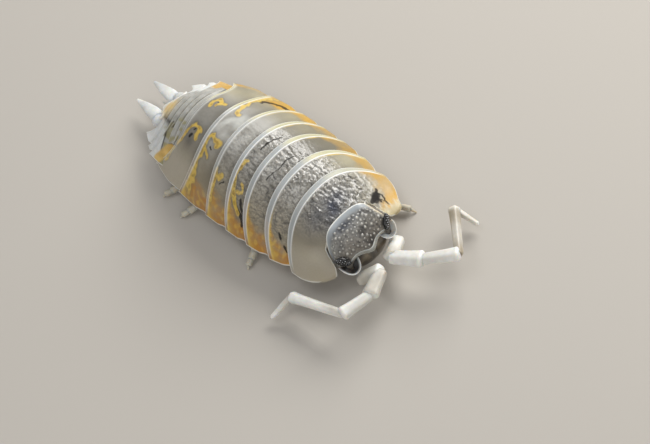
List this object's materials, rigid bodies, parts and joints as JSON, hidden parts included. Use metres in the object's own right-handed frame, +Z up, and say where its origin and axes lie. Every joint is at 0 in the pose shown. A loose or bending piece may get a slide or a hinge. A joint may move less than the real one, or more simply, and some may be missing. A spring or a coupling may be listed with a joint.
{
  "type": "woodlouse",
  "caption": "Still, life-size woodlouse: domed overlapping shell plates with thin rims, broad head with side eyes, bent feelers, short legs and a pointed tail.",
  "frame": {"origin": "middle of the bounding box's underside, on the floor that the feet stand on", "axes": "+Z up; the head points along -Y, and the animal's left side lies towards +X"},
  "size_m": [0.0106, 0.0226, 0.0044],
  "materials": {
    "head": "dark grey, glossy, with pale raised grains",
    "eye": "black, glossy, faceted",
    "feeler": "milky white, satin",
    "shell": "warm grey with pale rims and yellow sides, glossy",
    "tail": "grey with pale points, satin",
    "uropod": "milky white, satin",
    "leg": "pale, satin"
  },
  "bodies": {
    "root": {"head": "head", "eye_left": "eye", "eye_right": "eye", "antenna_left_base": "feeler", "antenna_left_article_3": "feeler", "antenna_left_article_4": "feeler", "antenna_left_article_5": "feeler", "antenna_left_flagellum": "feeler", "antenna_right_base": "feeler", "antenna_right_article_3": "feeler", "antenna_right_article_4": "feeler", "antenna_right_article_5": "feeler", "antenna_right_flagellum": "feeler", "pereonite_1": "shell", "pereonite_2": "shell", "pereonite_3": "shell", "pereonite_4": "shell", "pereonite_5": "shell", "pereonite_6": "shell", "pereonite_7": "shell", "pleonite_1": "tail", "pleonite_2": "tail", "pleonite_3": "tail", "pleonite_4": "tail", "pleonite_5": "tail", "telson": "tail", "uropod_left": "uropod", "uropod_right": "uropod", "leg_left_1": "leg", "leg_left_2": "leg", "leg_left_3": "leg", "leg_left_4": "leg", "leg_left_5": "leg", "leg_left_6": "leg", "leg_left_7": "leg", "leg_right_1": "leg", "leg_right_2": "leg", "leg_right_3": "leg", "leg_right_4": "leg", "leg_right_5": "leg", "leg_right_6": "leg", "leg_right_7": "leg"}
  },
  "joints": []
}
